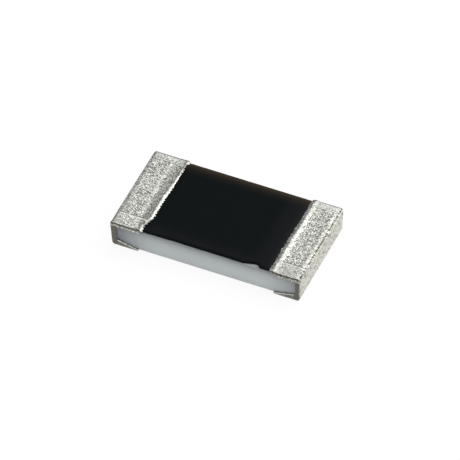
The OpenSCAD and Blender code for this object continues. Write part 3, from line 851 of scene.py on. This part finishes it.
def shadeInnerEdge(piece, form, side):  # painted shade on the edge where the column meets the bare ceramic
    p = readPoints(piece.data)
    onEdge = np.abs(side * p[:, 0] - form["bandX"]) < form["edgeReach"]
    onEdge &= (p[:, 2] > form["lipLow"]) & (p[:, 2] < form["lipHigh"])
    mask = piece.data.attributes["paintedShade"].data
    values = np.empty(len(p), dtype=np.float32)
    mask.foreach_get("value", values)
    values[onEdge] = 1.0
    mask.foreach_set("value", values)


def hollowOut(piece, form, end, coat):                 # room for the nickel, the ceramic and the coat
    side = end["side"]
    cutters = [nickelCore(form, end), windowPrism(form, 0.0, side),
               substrateBlock(substrate, "substrateCutter")]
    for cutter in cutters:
        cutAway(piece, cutter)
        dropPiece(cutter)
    cutAway(piece, coat)
    shadeInnerEdge(piece, form, side)


def buildTerminal(label, form, end, coat):
    piece = buildWrap(label, form, end)
    at = measureWrap(piece, form, end)
    sinkField(at, form, end)
    driftEdge(at, form, end)
    roughenTin(at, form, end)
    writePoints(piece.data, at.p)
    paintTin(piece, at, form, end, tinEdges)
    hollowOut(piece, form, end, coat)
    piece.data.calc_loop_triangles()
    print("terminal", label, "shaped:", len(piece.data.loop_triangles), "triangles")
    return piece


tinPieces = {}
for label, end in terminalEnds.items():
    tinPieces[label] = buildTerminal(label, terminal, end, coatPiece)

finishPiece(coatPiece, "black_overcoat", coatFinish)
finishPiece(ceramicPiece, "ceramic_substrate", ceramicFinish)
for label, end in terminalEnds.items():
    finishPiece(tinPieces[label], end["node"], tinFinish)
print("pieces placed")


# floor, light and camera
floorLook = {"size": 0.5, "drop": 0.000003, "bounce": 0.85, "shown": 0.11, "glow": 0.92}


def buildFloor(look):
    bm = bmesh.new()
    bmesh.ops.create_grid(bm, x_segments=8, y_segments=8, size=look["size"] / 2)
    bmesh.ops.translate(bm, verts=bm.verts, vec=(0.0, 0.0, -look["drop"]))
    floor = addPiece(bm, "pale_floor")
    paper = bpy.data.materials.new("palePaper")
    paper.use_nodes = True
    tree = paper.node_tree
    tree.nodes.clear()
    link = tree.links.new
    bounce = addNode(tree, "ShaderNodeBsdfDiffuse", Color=(look["bounce"],) * 3 + (1.0,))
    shown = addNode(tree, "ShaderNodeBsdfDiffuse", Color=(look["shown"],) * 3 + (1.0,))
    glow = addNode(tree, "ShaderNodeEmission", Strength=look["glow"])
    both = addNode(tree, "ShaderNodeAddShader")
    link(shown.outputs[0], both.inputs[0])
    link(glow.outputs[0], both.inputs[1])
    choose = addNode(tree, "ShaderNodeMixShader")
    link(seenRays(tree), choose.inputs[0])
    link(bounce.outputs[0], choose.inputs[1])
    link(both.outputs[0], choose.inputs[2])
    out = addNode(tree, "ShaderNodeOutputMaterial")
    link(choose.outputs[0], out.inputs["Surface"])
    floor.data.materials.append(paper)


def seenRays(tree):                    # 1 for camera, glossy and transmission rays
    path = addNode(tree, "ShaderNodeLightPath")
    first = addNode(tree, "ShaderNodeMath", operation="MAXIMUM")
    second = addNode(tree, "ShaderNodeMath", operation="MAXIMUM")
    tree.links.new(path.outputs["Is Camera Ray"], first.inputs[0])
    tree.links.new(path.outputs["Is Glossy Ray"], first.inputs[1])
    tree.links.new(first.outputs[0], second.inputs[0])
    tree.links.new(path.outputs["Is Transmission Ray"], second.inputs[1])
    return second.outputs[0]


worldLook = {"colour": (0.97, 0.985, 1.0, 1.0), "level": 0.38}


def buildWorld(look):
    world = bpy.data.worlds.new("studio")
    world.use_nodes = True
    tree = world.node_tree
    tree.nodes.clear()
    soft = addNode(tree, "ShaderNodeBackground", Color=look["colour"], Strength=look["level"])
    out = addNode(tree, "ShaderNodeOutputWorld")
    tree.links.new(soft.outputs[0], out.inputs["Surface"])
    scene.world = world


# level is how bright a white card that faces the lamp becomes
softboxes = {
    "keyRightBack": {"towards": (0.5, 0.6, 0.6), "distance": 0.12, "size": (0.15, 0.13), "level": 0.68,
                     "colour": (1.0, 0.985, 0.96)},
    "topBack": {"towards": (0.0, 0.35, 0.94), "distance": 0.14, "size": (0.12, 0.12), "level": 0.25,
                "colour": (1.0, 1.0, 1.0)},
}


def buildSoftbox(name, look):
    lamp = bpy.data.lights.new(name, "AREA")
    lamp.shape = "RECTANGLE"
    lamp.size, lamp.size_y = look["size"]
    lamp.color = look["colour"]
    lamp.energy = look["level"] * math.pi ** 2 * look["distance"] ** 2
    towards = Vector(look["towards"]).normalized()
    holder = bpy.data.objects.new(name, lamp)
    holder.location = towards * look["distance"]
    holder.rotation_mode = "QUATERNION"
    holder.rotation_quaternion = towards.to_track_quat("Z", "Y")
    scene.collection.objects.link(holder)


photoView = {
    "azimuth": 23.55, "elevation": 45.34, "pixelsPerMm": 66.43,
    "origin": (227.33, 237.48), "frame": 460, "focal": 10000.0, "sensor": 36.0, "clip": (0.005, 5.0),
}


def buildCamera(view):
    a, e = math.radians(view["azimuth"]), math.radians(view["elevation"])
    right = Vector((math.cos(a), math.sin(a), 0.0))
    up = Vector((-math.sin(a) * math.sin(e), math.cos(a) * math.sin(e), math.cos(e)))
    back = Vector((math.sin(a) * math.cos(e), -math.cos(a) * math.cos(e), math.sin(e)))
    centre, scale = view["frame"] / 2, view["pixelsPerMm"]
    aim = right * ((centre - view["origin"][0]) / scale) + up * ((view["origin"][1] - centre) / scale)
    data = bpy.data.cameras.new("photoCamera")
    data.sensor_width = view["sensor"]
    data.lens = view["focal"] / view["frame"] * view["sensor"]
    data.clip_start, data.clip_end = view["clip"]
    camera = bpy.data.objects.new("photoCamera", data)
    axes = Matrix((right, up, back)).transposed().to_4x4()
    place = (aim + back * (view["focal"] / scale)) * snapped["metresPerMm"]
    camera.matrix_world = Matrix.Translation(place) @ axes
    scene.collection.objects.link(camera)
    scene.camera = camera


buildFloor(floorLook)
buildWorld(worldLook)
for name, look in softboxes.items():
    buildSoftbox(name, look)
buildCamera(photoView)
scene.view_settings.view_transform = "Standard"
print("studio ready")
